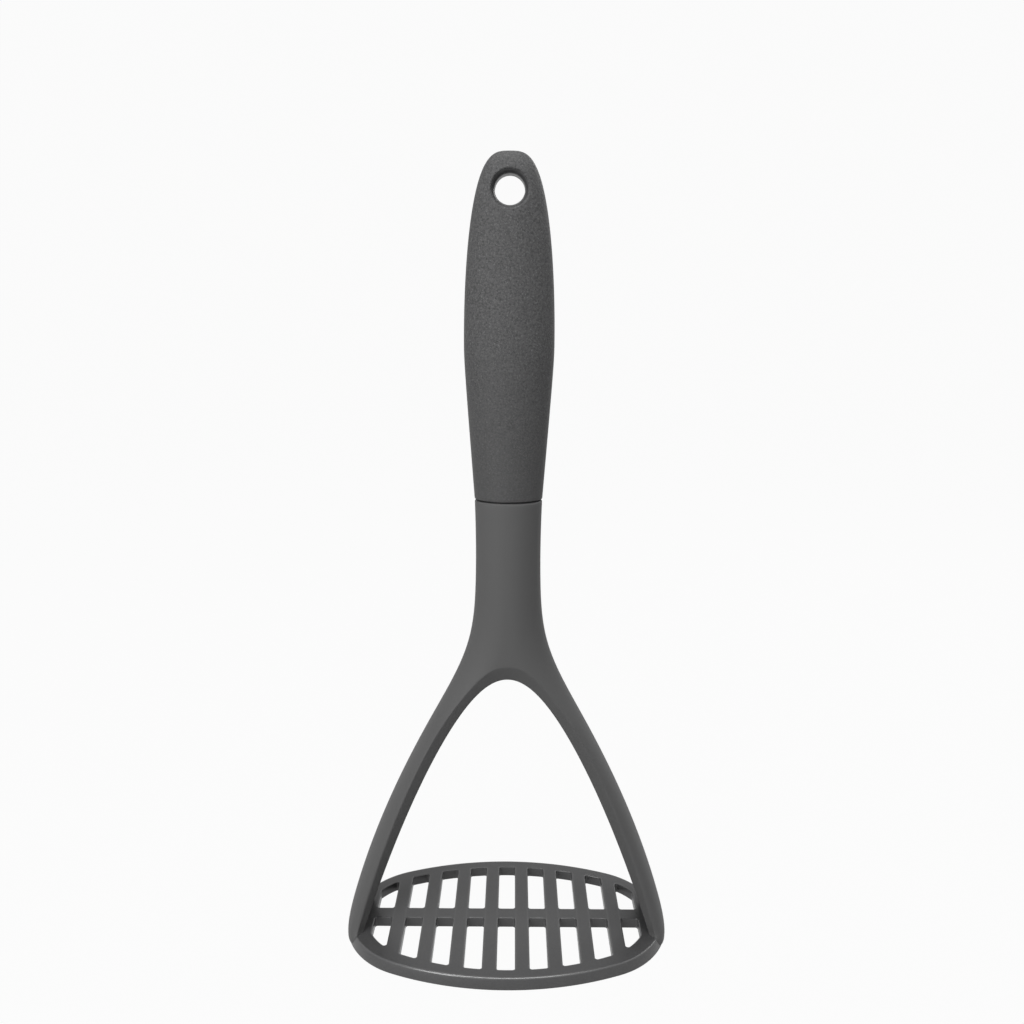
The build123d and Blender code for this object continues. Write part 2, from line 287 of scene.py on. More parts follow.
class NodeMaker:
    """The emptied node tree of a material or a world, with its output."""

    def __init__(self, owner, output):
        owner.use_nodes = True
        self.tree = owner.node_tree
        self.tree.nodes.clear()
        self.output = self.node(output, {}, {})

    def node(self, kind, settings, sockets):
        """Adds a node: its settings first, then values or links."""
        node = self.tree.nodes.new(kind)
        for name, value in settings.items():
            setattr(node, name, value)
        for name, value in sockets.items():
            if isinstance(value, Socket):
                self.tree.links.new(value.socket, node.inputs[name])
            else:
                node.inputs[name].default_value = value
        return node

    def out(self, kind, settings, sockets, output=0):
        """One output of a new node, ready for expressions."""
        return Socket(self, self.node(kind, settings, sockets).outputs[output])

    def range(self, value, low, high, to_low, to_high):
        """Stretches a value from one range to another and clamps it."""
        sockets = {"Value": value, "From Min": low, "From Max": high, "To Min": to_low, "To Max": to_high}
        return self.out("ShaderNodeMapRange", {}, sockets)

    def seen(self, white_share):
        """The given share where the camera, a reflection or a view through glass looks, and else 0."""
        path = self.node("ShaderNodeLightPath", {}, {}).outputs
        looks = Socket(self, path["Is Camera Ray"]) + Socket(self, path["Is Glossy Ray"])
        looks = looks + Socket(self, path["Is Transmission Ray"])
        return self.range(looks, 0.0, 1.0, 0.0, white_share)

    def end(self, shader):
        """Ends the tree in a shader."""
        self.tree.links.new(shader.socket, self.output.inputs["Surface"])


class Finish(NodeMaker):
    """A material under construction, read from Object coordinates in metres."""

    def __init__(self, name):
        self.material = bpy.data.materials.new(name)
        super().__init__(self.material, "ShaderNodeOutputMaterial")
        self.place = self.out("ShaderNodeTexCoord", {}, {}, "Object")

    def noise(self, grain, detail, roughness=0.5):
        """Noise whose lumps are about one grain across."""
        sockets = {"Vector": self.place, "Scale": 1 / grain, "Detail": detail, "Roughness": roughness}
        return self.out("ShaderNodeTexNoise", {}, sockets)

    def worn_edge(self):
        """The mesh's painted highlight on narrow edges that face up."""
        return self.out("ShaderNodeAttribute", {"attribute_name": "worn_edge"}, {}, "Fac")

    def height(self, low, high, to_low, to_high):
        """A value that changes with the height above the floor."""
        z = self.out("ShaderNodeSeparateXYZ", {}, {0: self.place}, "Z")
        return self.range(z, low, high, to_low, to_high)

    def spread(self, noise, to_low, to_high):
        """The middle half of a noise stretched over the given values."""
        return self.range(noise, NOISE_LOW, NOISE_HIGH, to_low, to_high)

    def tint(self, base, factor):
        """The base colour made darker or lighter by a factor round 1."""
        return self.out("ShaderNodeVectorMath", {"operation": "SCALE"}, {0: tuple(base), "Scale": factor})

    def bump(self, height, distance, strength):
        """A normal from a height of 0 to 1 that stands for the given distance."""
        sockets = {"Height": height, "Distance": distance, "Strength": strength}
        return self.out("ShaderNodeBump", {}, sockets)

    def surface(self, **sockets):
        """Ends the material in one Principled shader."""
        named = {name.replace("_", " "): value for name, value in sockets.items()}
        self.end(self.out("ShaderNodeBsdfPrincipled", {}, named))
        return self.material


def nylon_finish(base):
    """Satin moulded nylon: faint mottling, an almost smooth skin and slow flow waves, with a painted
    highlight and a gloss coat on narrow upward edges.
    """
    finish = Finish("head_nylon")
    mottle = finish.noise(6.0 * MM, 3.0)
    skin = finish.noise(0.5 * MM, 3.0, 0.6)
    waves = finish.noise(14.0 * MM, 1.0)
    edge = finish.worn_edge()
    # The painted edge highlight lightens the base colour by up to 35 percent; the same edges get lower
    # roughness and a gloss coat.
    tone = finish.spread(mottle, 0.96, 1.04) + (skin - 0.5) * 0.65 + edge * 0.35
    height = skin * 0.45 + waves * 0.55
    return finish.surface(
        Base_Color=finish.tint(base, tone),
        Roughness=finish.spread(skin, 0.32, 0.40) + (mottle - 0.5) * 0.05 - edge * 0.12,
        Specular_IOR_Level=0.5,
        Coat_Weight=edge * 0.7,
        Coat_Roughness=0.14,
        Coat_IOR=1.8,
        Normal=finish.bump(height, 0.035 * MM, 0.6),
    )


def skin_finish(base):
    """Soft-touch skin: a fine spark-eroded grain with tiny lighter specks, both weaker towards the
    seam, and a matte sheen."""
    finish = Finish("grip_rubber")
    grain = finish.noise(0.8 * MM, 2.0, 0.7)
    dust = finish.noise(0.45 * MM, 2.0, 0.65)
    mottle = finish.noise(9.0 * MM, 2.0)
    fresh = finish.height(GRAIN_LOW, GRAIN_HIGH, 0.28, 1.0)
    specks = finish.range(dust, 0.58, 0.70, 0.0, 1.3)
    tone = finish.spread(mottle, 0.94, 0.98) + ((grain - 0.5) * 2.2 + specks) * fresh
    height = grain * 0.6 + dust * 0.4
    return finish.surface(
        Base_Color=finish.tint(base, tone),
        Roughness=finish.spread(dust, 0.56, 0.68),
        Specular_IOR_Level=0.3,
        Normal=finish.bump(height * fresh, 0.24 * MM, 1.0),
    )


def ring_finish(base):
    """Smooth hard plastic with a light gloss and a few soft scuffs."""
    finish = Finish("core_plastic")
    scuffs = finish.noise(1.6 * MM, 3.0)
    skin = finish.noise(0.4 * MM, 2.0)
    return finish.surface(
        Base_Color=finish.tint(base, finish.spread(scuffs, 0.96, 1.04)),
        Roughness=finish.spread(scuffs, 0.36, 0.46),
        Specular_IOR_Level=0.5,
        Normal=finish.bump(skin, 0.01 * MM, 0.4),
    )


def stage_finish(base):
    """White to the camera and to reflections, with the object's soft shadow left on it."""
    finish = Finish("floor_pale")
    matte = finish.out("ShaderNodeBsdfDiffuse", {}, {"Color": (*base, 1.0)})
    glow = finish.out("ShaderNodeEmission", {}, {"Color": WHITE, "Strength": 1.0})
    mixed = {"Fac": finish.seen(FLOOR_WHITE), 1: matte, 2: glow}
    finish.end(finish.out("ShaderNodeMixShader", {}, mixed))
    return finish.material


def full_turn(count):
    """Angles that part a full turn evenly."""
    return np.linspace(0, 2 * math.pi, count + 1)[:-1]


def directions(angles):
    """Unit vectors of a plane at the angles."""
    return np.stack([np.cos(angles), np.sin(angles)], axis=-1)


def across(edge, shares):
    """Rows from each point of an edge, with its y taken at each of the shares."""
    scale = np.ones((len(shares), 3))
    scale[:, 1] = shares
    return edge[:, None] * scale


def grid_patch(points, closed=False):
    """A grid of points, rows by columns by 3, as one patch of quads. Closed joins the last column on."""
    rows, columns = points.shape[:2]
    index = np.arange(rows * columns).reshape(rows, columns)
    if closed:
        index = np.concatenate([index, index[:, :1]], axis=1)
    quads = np.stack([index[:-1, :-1], index[:-1, 1:], index[1:, 1:], index[1:, :-1]], axis=-1)
    return points.reshape(-1, 3), quads.reshape(-1, 4)


def kept_patch(points, keep):
    """As grid_patch on closed columns, with only the quads that the mask keeps."""
    vertices, quads = grid_patch(points, closed=True)
    return vertices, quads[keep.reshape(-1)]


def mirrored(patch, axis):
    """The patch on the other side of the plane across an axis, with its faces turned back out."""
    vertices, faces = patch
    flipped = vertices.copy()
    flipped[:, axis] *= -1
    return flipped, faces[:, ::-1]


def four_quarters(patches):
    """A quarter's patches with their mirror images left and right, front and back."""
    halves = patches + [mirrored(patch, 0) for patch in patches]
    return halves + [mirrored(patch, 1) for patch in halves]


def add_object(name, data):
    """A new object in the scene."""
    item = bpy.data.objects.new(name, data)
    bpy.context.scene.collection.objects.link(item)
    return item


def make_piece(name, patches, material, node, sharp=32.0):
    """Joins patches into one mesh, merges their seams and lets it stand for a CAD node. Edges that
    turn by more than sharp, in degrees, stay sharp."""
    vertices = np.concatenate([patch[0] for patch in patches])
    faces = []
    start = 0
    for points, patch_faces in patches:
        faces.extend((np.asarray(patch_faces) + start).tolist())
        start += len(points)
    mesh = bpy.data.meshes.new(name)
    mesh.from_pydata(vertices.tolist(), [], faces)
    work = bmesh.new()
    work.from_mesh(mesh)
    bmesh.ops.remove_doubles(work, verts=work.verts, dist=SEAM_TOLERANCE)
    bmesh.ops.dissolve_degenerate(work, edges=work.edges, dist=SEAM_TOLERANCE)
    bmesh.ops.recalc_face_normals(work, faces=work.faces)
    work.to_mesh(mesh)
    work.free()
    mesh.shade_smooth()
    mesh.set_sharp_from_angle(angle=math.radians(sharp))
    mark_edges(mesh)
    mesh.materials.append(material)
    piece = add_object(name, mesh)
    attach(piece, "root")
    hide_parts(node)


def mark_edges(mesh):
    """Stores a painted edge highlight: how sharply the surface bends outwards at each vertex that faces
    up, from 0 on flats and broad curves to 1 on narrow rounded edges: the turn of the normals along a
    mesh edge over its length. The seam's shoulder and the middle of the front rim, where the lamps
    catch the edges, get a large share of it, fading along the rim, and all other edges a small one."""
    ends = np.empty((len(mesh.edges), 2), np.int32)
    mesh.edges.foreach_get("vertices", ends.reshape(-1))
    places = np.empty((len(mesh.vertices), 3))
    mesh.vertices.foreach_get("co", places.reshape(-1))
    normals = np.empty_like(places)
    mesh.vertices.foreach_get("normal", normals.reshape(-1))
    first, second = ends.T
    step = places[second] - places[first]
    turn = normals[second] - normals[first]
    bend = (step * turn).sum(axis=1) / np.maximum((step**2).sum(axis=1), SHORTEST_EDGE**2)
    most = np.zeros(len(mesh.vertices))
    np.maximum.at(most, first, bend)
    np.maximum.at(most, second, bend)
    x, y, z = places.T
    painted_highlight = np.clip((most * MM - BEND_START) / (BEND_FULL - BEND_START), 0, 1)
    painted_highlight *= np.clip((normals[:, 2] - FACING_START) / (FACING_FULL - FACING_START), 0, 1)
    on_front_rim = (np.hypot(x / CAD_BOX[1][0], y / CAD_BOX[1][1]) > RIM_REACH) & (y < 0)
    rim_highlight = np.clip((RIM_END - np.abs(x)) / RIM_FADE, INNER_HIGHLIGHT, 1)
    low_highlight = np.where(on_front_rim, rim_highlight, INNER_HIGHLIGHT)
    # Painted highlight: strongest on the shoulder and the front rim's middle, where the lamps catch the
    # edges.
    painted_highlight *= np.where(z > SHOULDER_LOW, SHOULDER_HIGHLIGHT, low_highlight)
    mesh.attributes.new("worn_edge", "FLOAT", "POINT").data.foreach_set("value", painted_highlight)


def soft_fall(run, softness):
    """A hyperbola from 0 to 1: it starts level and soon falls almost evenly."""
    return np.hypot(math.sqrt(1 + 2 * softness) * run, softness) - softness


def soft_fall_slope(run, softness):
    """How fast the hyperbola falls."""
    return (1 + 2 * softness) * run / np.hypot(math.sqrt(1 + 2 * softness) * run, softness)


def head_half_width(p, z):
    """Outer line of neck and legs: the neck's width plus a soft ramp (a log of 1 + exp) up to the
    leg's parabola, less a tuck that fades exponentially above the plate."""
    rise = z / p.arch_height
    lean = p.leg_root - p.leg_crown - p.leg_bow
    leg = p.leg_root - lean * rise - p.leg_bow * rise**2
    above = np.maximum(z - p.waist_height, 0) / (p.seam_height - p.waist_height)
    neck = p.neck_half_width + (p.seam_half_width - p.neck_half_width) * above**2
    ramp = p.flare * np.logaddexp(0, (leg - neck) / p.flare)
    return neck + ramp - p.foot_tuck * np.exp(-z / p.foot_tuck_height)


def head_face_depth(p, z):
    """Half depth of the flat faces, which lean together evenly up to the seam, plus a spread that
    fades exponentially above the plate."""
    lean = (p.foot_half_depth - p.seam_half_depth) * z / p.seam_height
    spread = p.foot_spread * np.exp(-np.maximum(z - p.plate_top, 0) / p.foot_spread_height)
    return p.foot_half_depth - lean + spread


def head_section(p, z):
    """Half width of the flat, length of the round side, half depth and the round side's arc length.
    The side reaches in over the whole neck and, past a Gaussian of the flare, only a little on a leg."""
    half_width = head_half_width(p, z)
    depth = head_face_depth(p, z)
    reach = half_width - p.neck_flat
    fade = np.exp(-(((half_width - p.neck_half_width) / p.cap_softness) ** 2))
    cap = p.leg_cap + (reach - p.leg_cap) * fade
    arc = QUARTER_TURN * np.sqrt(0.5 * (cap**2 + depth**2))
    return half_width - cap, cap, depth, arc


def skin_point(p, z, v):
    """Point of the front skin at height z: v runs from 0 at the middle of the face, along the flat
    and round a quarter ellipse, to 1 at the side."""
    flat, cap, depth, arc = head_section(p, z)
    along = v * (flat + arc)
    turn = np.clip((along - flat) / arc, 0, 1) * QUARTER_TURN
    x = np.minimum(along, flat) + cap * np.sin(turn)
    return np.stack([x, -depth * np.cos(turn), z * np.ones_like(x)], axis=-1)


def skin_coordinate(p, z, x):
    """The v of skin_point whose x is given."""
    flat, cap, _, arc = head_section(p, z)
    turn = np.arcsin(np.clip((x - flat) / cap, 0, 1))
    return (np.minimum(x, flat) + turn / (QUARTER_TURN) * arc) / (flat + arc)


def skin_depth(p, z, x):
    """Depth of the skin at height z and place x."""
    flat, cap, depth, _ = head_section(p, z)
    return depth * np.sqrt(1 - np.clip((x - flat) / cap, 0, 1) ** 2)


def bevel_point(p, q, b):
    """Point of the front bevel. q runs from 0 at the arch's crown to 1 at its foot, along a soft fall
    mixed with a cube. b moves it square to the curve, by the bevel's width at 1, while its depth
    below the face falls to nothing."""
    straight = 1 - p.arch_bow
    steepness = straight * soft_fall_slope(q, p.arch_crown) + 3 * p.arch_bow * q**2
    slope = p.arch_height * steepness / p.arch_half_span
    rise = 1 - straight * soft_fall(q, p.arch_crown) - p.arch_bow * q**3
    width = p.bevel_width * (p.bevel_foot_share + (1 - p.bevel_foot_share) * rise)
    step = b * width / np.hypot(slope, 1)
    z = p.arch_height * rise + step
    x = p.arch_half_span * q + slope * step
    return np.stack([x, (1 - b) * p.bevel_depth - head_face_depth(p, z), z], axis=-1)


def bevel_crease(p, q):
    """The b at which the bevel meets the skin, found by halving the interval."""
    low = np.zeros_like(q)
    high = np.ones_like(q)
    for _ in range(30):
        middle = 0.5 * (low + high)
        point = bevel_point(p, q, middle)
        outside = -point[..., 1] > skin_depth(p, point[..., 2], point[..., 0])
        high = np.where(outside, middle, high)
        low = np.where(outside, low, middle)
    return 0.5 * (low + high)


def rounded(before, corner, after, cells):
    """Rows of a quadratic curve from before to after that is drawn to the corner."""
    t = np.linspace(0, 1, cells + 1)[None, 1:-1, None]
    return (1 - t) ** 2 * before[:, None] + 2 * t * (1 - t) * corner[:, None] + t**2 * after[:, None]


def legs_quarter(p, top_cells=44, side_cells=210, fan_cells=46, wall_cells=7, face_cells=4, round_cells=5):
    """Front right quarter of neck and legs as one grid. Each row leaves the arch's inner wall at a
    place q of its curve, rounds over into the bevel, rounds over the crease, and fans out over the
    skin to the side, or near the crown to the neck's top."""
    steepness = (1 - p.arch_bow) * soft_fall_slope(1.0, p.arch_crown) + 3 * p.arch_bow
    foot = 1 - p.foot_sink / p.arch_height / steepness
    top = np.linspace(0, CROWN_SHARE, top_cells + 1)
    side = np.linspace(CROWN_SHARE, foot, side_cells + 1)[1:]
    q = np.concatenate([top, side])
    neck_top = p.seam_height - p.shoulder_round
    run = np.clip((foot - q) / (foot - CROWN_SHARE), 0, 1)
    climb = EVEN_CLIMB * run + (1 - EVEN_CLIMB) * run**LATE_CLIMB_POWER
    outer_z = p.foot_sink + (neck_top - p.foot_sink) * climb
    outer_v = np.minimum(q / CROWN_SHARE, 1)

    crease_b = bevel_crease(p, q)
    crease = bevel_point(p, q, crease_b)
    edge = bevel_point(p, q, np.zeros_like(q))
    inner_v = skin_coordinate(p, crease[:, 2], crease[:, 0])

    def fan(t):
        z = crease[:, 2, None] + (outer_z - crease[:, 2])[:, None] * t
        v = inner_v[:, None] + (outer_v - inner_v)[:, None] * t
        return skin_point(p, z, v)

    start = fan(np.array([[0.0, PROBE]]))
    speed = np.linalg.norm(start[:, 1] - start[:, 0], axis=-1) / PROBE
    face_length = np.linalg.norm(crease - edge, axis=-1)
    face_round = np.minimum(p.crease_round, BEVEL_ROUND_SHARE * face_length)
    skin_start = np.minimum(face_round / speed, SKIN_ROUND_SHARE)[:, None]
    skin = fan(skin_start + (1 - skin_start) * np.linspace(0, 1, fan_cells + 1)[None])
    inset = face_round / face_length
    shares = np.linspace(0, 1, face_cells + 1)[None]
    face_b = crease_b[:, None] * (inset[:, None] + (1 - 2 * inset[:, None]) * shares)
    face = bevel_point(p, q[:, None] * np.ones_like(face_b), face_b)
    wall_edge = edge + np.array([0, p.crease_round, 0])
    fractions = np.linspace(0, 1, wall_cells + 1)
    rows = [
        across(wall_edge, fractions),
        rounded(wall_edge, edge, face[:, 0], round_cells),
        face,
        rounded(face[:, -1], crease, skin[:, 0], round_cells),
        skin,
    ]
    quarter = np.concatenate(rows, axis=1)

    rim = skin[: top_cells + 1, -1]
    half_width = head_half_width(p, neck_top)
    half_depth = head_face_depth(p, neck_top)
    turns = np.linspace(0, QUARTER_TURN, round_cells + 1)
    insets = np.concatenate([p.shoulder_round * (1 - np.cos(turns)), SHOULDER_RINGS, [half_depth]])
    heights = np.full(len(insets), p.seam_height)
    heights[: len(turns)] = neck_top + p.shoulder_round * np.sin(turns)
    scale = np.stack([1 - insets / half_width, 1 - insets / half_depth], axis=-1)
    scale[-1] = 0
    shoulder = np.empty((len(rim), len(insets), 3))
    shoulder[..., :2] = rim[:, None, :2] * scale
    shoulder[..., 2] = heights

    sole = across(quarter[-1, wall_cells:], fractions)
    return [grid_patch(quarter), grid_patch(shoulder), grid_patch(sole)]


class Oval:
    """An oval of two end arcs and two long side arcs in tangency, from its half length, its half
    width and the radius of its ends."""

    def __init__(self, half_length, half_width, end_radius):
        self.end_radius = end_radius
        self.end = half_length - end_radius
        shortfall = half_width - end_radius
        self.side_radius = half_width + (self.end**2 - shortfall**2) / (2 * shortfall)
        self.side = self.side_radius - half_width
        self.turn = math.atan2(self.side, self.end)

    def path(self, cells):
        """Points and outward normals round the oval."""
        arcs = (
            ((self.end, 0), self.end_radius, -self.turn, self.turn),
            ((0, -self.side), self.side_radius, self.turn, math.pi - self.turn),
            ((-self.end, 0), self.end_radius, math.pi - self.turn, math.pi + self.turn),
            ((0, self.side), self.side_radius, math.pi + self.turn, 2 * math.pi - self.turn),
        )
        points, normals = [], []
        for centre, radius, start, stop in arcs:
            normal = directions(np.linspace(start, stop, cells + 1)[:-1])
            points.append(radius * normal + centre)
            normals.append(normal)
        return np.concatenate(points), np.concatenate(normals)

    def edge(self, x):
        """Height y of the oval's upper half at x, and its outward normal there."""
        on_end = np.abs(x) > self.end + self.end_radius * math.cos(self.turn)
        centre_x = np.where(on_end, np.sign(x) * self.end, 0.0)
        centre_y = np.where(on_end, 0.0, -self.side)
        radius = np.where(on_end, self.end_radius, self.side_radius)
        y = centre_y + np.sqrt(np.maximum(radius**2 - (x - centre_x) ** 2, 0))
        return y, np.stack([(x - centre_x) / radius, (y - centre_y) / radius], axis=-1)


def column_end(p, middle, half_length):
    """Points and outward normals of a column's back end: its last stretch on the oval set in by the
    rim, between corners whose centres lie on the oval set in by the rim and the corner's radius."""
    sizes = np.array([half_length, p.half_width, p.end_radius]) - p.rim
    centres_x = middle + (0.5 * p.slot - p.corner) * np.array([1, -1])
    centres_y, corner_normals = Oval(*(sizes - p.corner)).edge(centres_x)
    turns = np.arctan2(corner_normals[:, 1], corner_normals[:, 0])
    right_normal = directions(np.linspace(0, turns[0], CORNER_CELLS + 1))
    left_normal = directions(np.linspace(turns[1], math.pi, CORNER_CELLS + 1))
    right_corner = p.corner * right_normal + (centres_x[0], centres_y[0])
    left_corner = p.corner * left_normal + (centres_x[1], centres_y[1])
    end_x = np.linspace(right_corner[-1, 0], left_corner[0, 0], END_CELLS + 1)[1:-1]
    end_y, end_normal = Oval(*sizes).edge(end_x)
    points = np.concatenate([right_corner, np.stack([end_x, end_y], axis=-1), left_corner])
    return points, np.concatenate([right_normal, end_normal, left_normal])


def column_path(p, middle):
    """Points and outward normals round one column's opening, both slots and the bar between them:
    two ends joined by straight sides. The front end lies on a slightly shorter oval."""
    back, back_normal = column_end(p, middle, p.half_length)
    front, front_normal = column_end(p, middle, p.half_length - p.front_cut)
    turned = np.array([1, -1])
    points = np.concatenate([back, front[::-1] * turned])
    return points, np.concatenate([back_normal, front_normal[::-1] * turned])


def path_rings(points, normals, profile):
    """A profile carried along a closed path: each pair of it is a move along the normal and a height."""
    rings = np.empty((len(profile), len(points), 3))
    for row, (move, height) in enumerate(profile):
        rings[row, :, :2] = points + normals * move
        rings[row, :, 2] = height
    return rings


def wall_profile(low_round, top_round, height, draft=0.0, top_cells=EDGE_CELLS):
    """Pairs of an outward move and a height, up a wall with two rounded edges: from a strip of the
    underside, round the lower edge, in by the draft, and round the upper edge to a strip of the top."""
    low_turns = np.radians(np.linspace(-90, 0, EDGE_CELLS + 1))
    top_turns = np.radians(np.linspace(0, 90, top_cells + 1))
    lower_edge = low_round * directions(low_turns) + (-low_round, low_round)
    upper_edge = top_round * directions(top_turns) + (-top_round - draft, height - top_round)
    first = [(-low_round - FLAT_HOLD, 0.0)]
    last = [(-top_round - draft - FLAT_HOLD, height)]
    return np.concatenate([first, lower_edge, upper_edge, last])


def flat_fill(outer, holes, height, upwards):
    """Triangles between an outer loop and the loops of its holes, all at one height."""
    loops = [outer] + holes
    points = np.concatenate(loops)
    edges = []
    start = 0
    for loop in loops:
        count = len(loop)
        edges.extend((start + i, start + (i + 1) % count) for i in range(count))
        start += count
    found, _, triangles, _, _, _ = delaunay_2d_cdt(
        [Vector(point) for point in (points / MM).tolist()], edges, [], 0, FILL_TOLERANCE
    )
    flat = np.array([[v.x, v.y] for v in found]) * MM
    triangles = np.array(triangles)
    centres = flat[triangles].mean(axis=1)
    inside = in_loop(centres, outer)
    for hole in holes:
        inside &= ~in_loop(centres, hole)
    vertices = np.concatenate([flat, np.full((len(flat), 1), height)], axis=1)
    faces = triangles[inside]
    return vertices, faces if upwards else faces[:, ::-1]


def in_loop(points, loop):
    """Whether each point lies in a closed loop, by counting the edges to its right."""
    ahead = np.roll(loop, -1, axis=0)
    x, y = points[:, :1], points[:, 1:]
    crosses = (loop[:, 1] > y) != (ahead[:, 1] > y)
    rise = np.where(ahead[:, 1] == loop[:, 1], 1.0, ahead[:, 1] - loop[:, 1])
    at = loop[:, 0] + (y - loop[:, 1]) / rise * (ahead[:, 0] - loop[:, 0])
    return (crosses & (x < at)).sum(axis=1) % 2 == 1


def plate_patches(p):
    """The plate: a rounded wall carried round the oval, a rounded wall that faces inwards carried
    round each column's opening, and flat fills between them on the top and the underside."""
    points, normals = Oval(p.half_length, p.half_width, p.end_radius).path(OUTLINE_CELLS)
    wall = wall_profile(p.foot_round, p.top_round, p.thickness, p.draft, EDGE_CELLS + 1)
    rings = path_rings(points, normals, wall)
    patches = [grid_patch(rings, closed=True)]
    mouth = wall_profile(p.slot_foot, p.slot_round, p.thickness) * (-1, 1)
    top_holes, low_holes = [], []
    for middle in column_middles(p):
        hole = path_rings(*column_path(p, middle), mouth)
        patches.append(grid_patch(hole, closed=True))
        low_holes.append(hole[0, :, :2])
        top_holes.append(hole[-1, :, :2])
    patches.append(flat_fill(rings[-1, :, :2], top_holes, p.thickness, True))
    patches.append(flat_fill(rings[0, :, :2], low_holes, 0.0, False))
    return patches


def column_middles(p):
    """The x of each column of slots."""
    return (np.arange(p.columns) - 0.5 * (p.columns - 1)) * p.pitch


def bar_patches(p):
    """The middle bar, in one piece for each column of slots. A piece's half width grows at both ends
    along a quarter circle, which is the slots' corner, and a rounded section is carried across. Its
    last rows sink into the long bars. Its top lies a hair above the plate's, so that it covers the
    openings' mouths."""
    half = 0.5 * p.slot
    near = p.corner * (1 - np.cos(np.linspace(0, QUARTER_TURN, CORNER_CELLS + 1)))
    distance = np.concatenate([-BAR_SINKS * p.slot_round, near, [half]])
    drawn = p.corner - np.clip(distance, 0, p.corner)
    growth = p.corner - np.sqrt(np.maximum(p.corner**2 - drawn**2, 0))
    growth = np.concatenate([growth, growth[-2::-1]])
    x = distance - half
    x = np.concatenate([x, -x[-2::-1]])[:, None]
    shrink = np.zeros_like(x)
    shrink[[0, -1]] = BAR_SHRINK
    height = p.thickness + p.bar_lift
    side = wall_profile(p.slot_foot, p.slot_round, height)
    back = np.empty((len(x), len(side), 3))
    back[..., 0] = x
    back[..., 1] = 0.5 * p.bar + growth[:, None] - shrink + side[:, 0]
    back[..., 2] = np.clip(side[:, 1], shrink, height - shrink)
    front = back[:, ::-1] * np.array([1, -1, 1])
    loop = np.concatenate([back, front], axis=1)
    parts = [grid_patch(loop, closed=True)]
    count = loop.shape[1]
    index = np.arange(count)
    fan = np.stack([index, (index + 1) % count, np.full(count, count)], axis=-1)
    for ring, faces in ((loop[0], fan[:, ::-1]), (loop[-1], fan)):
        parts.append((np.concatenate([ring, ring.mean(axis=0, keepdims=True)]), faces))
    patches = []
    for middle in column_middles(p):
        patches.extend((vertices + (middle, p.bar_back, 0), faces) for vertices, faces in parts)
    return patches


class HandleSkin:
    """The handle's skin, or a body set in from it, as functions of height and angle."""

    def __init__(self, p, head, inset=0.0):
        self.p, self.head, self.inset = p, head, inset

    def below(self, z, start, size, seam_size):
        """A size that falls softly from its most at the start height to its value at the seam."""
        drop = np.maximum(start - z, 0) / (start - self.head.seam_height)
        return size - self.inset - (size - seam_size) * soft_fall(drop, self.p.lower_taper)

    def widths(self, z):
        """Half width and half depth. Below the widest place the width falls softly, and above it is
        a superellipse whose exponent draws the crown in. The depth falls softly below and above the
        deepest place, and a steep root closes it at the crown."""
        p, head, inset = self.p, self.head, self.inset
        rise = np.clip((z - p.widest_height) / (p.top_height - inset - p.widest_height), 0, 1)
        lower = self.below(z, p.widest_height, p.half_width, head.seam_half_width)
        upper = (p.half_width - inset) * (1 - rise**2) ** p.upper_power
        half_width = np.where(z < p.widest_height, lower, upper)
        climb = np.maximum(z - p.deepest_height, 0) / (p.top_height - p.deepest_height)
        lower = self.below(z, p.deepest_height, p.half_depth, head.seam_half_depth)
        upper = p.half_depth - inset - (p.half_depth - p.end_half_depth) * soft_fall(climb, p.upper_taper)
        return half_width, np.where(z < p.deepest_height, lower, upper) * np.sqrt(1 - rise**p.cap_power)

    def depth(self, x, z):
        """Depth of the skin at a place of the front view."""
        half_width, half_depth = self.widths(z)
        return half_depth * np.sqrt(np.maximum(1 - (x / half_width) ** 2, 0))

    def rings(self, z, angles, draw=0.0):
        """Ellipses at the heights, drawn in by a length."""
        half_width, half_depth = self.widths(z)
        points = np.empty((len(z), len(angles), 3))
        points[..., 0] = (half_width - draw)[:, None] * np.cos(angles)
        points[..., 1] = (half_depth - draw)[:, None] * np.sin(angles)
        points[..., 2] = z[:, None]
        return points

    def upper_heights(self, cells):
        """Heights from the widest place to the crown, so spaced that the outline shrinks evenly
        towards its end."""
        k = np.linspace(0, 1, cells + 1)
        swing = QUARTER_TURN * (1 - (1 - k) ** 1.5)
        top = self.p.top_height - self.inset
        return self.p.widest_height + (top - self.p.widest_height) * np.sin(swing)


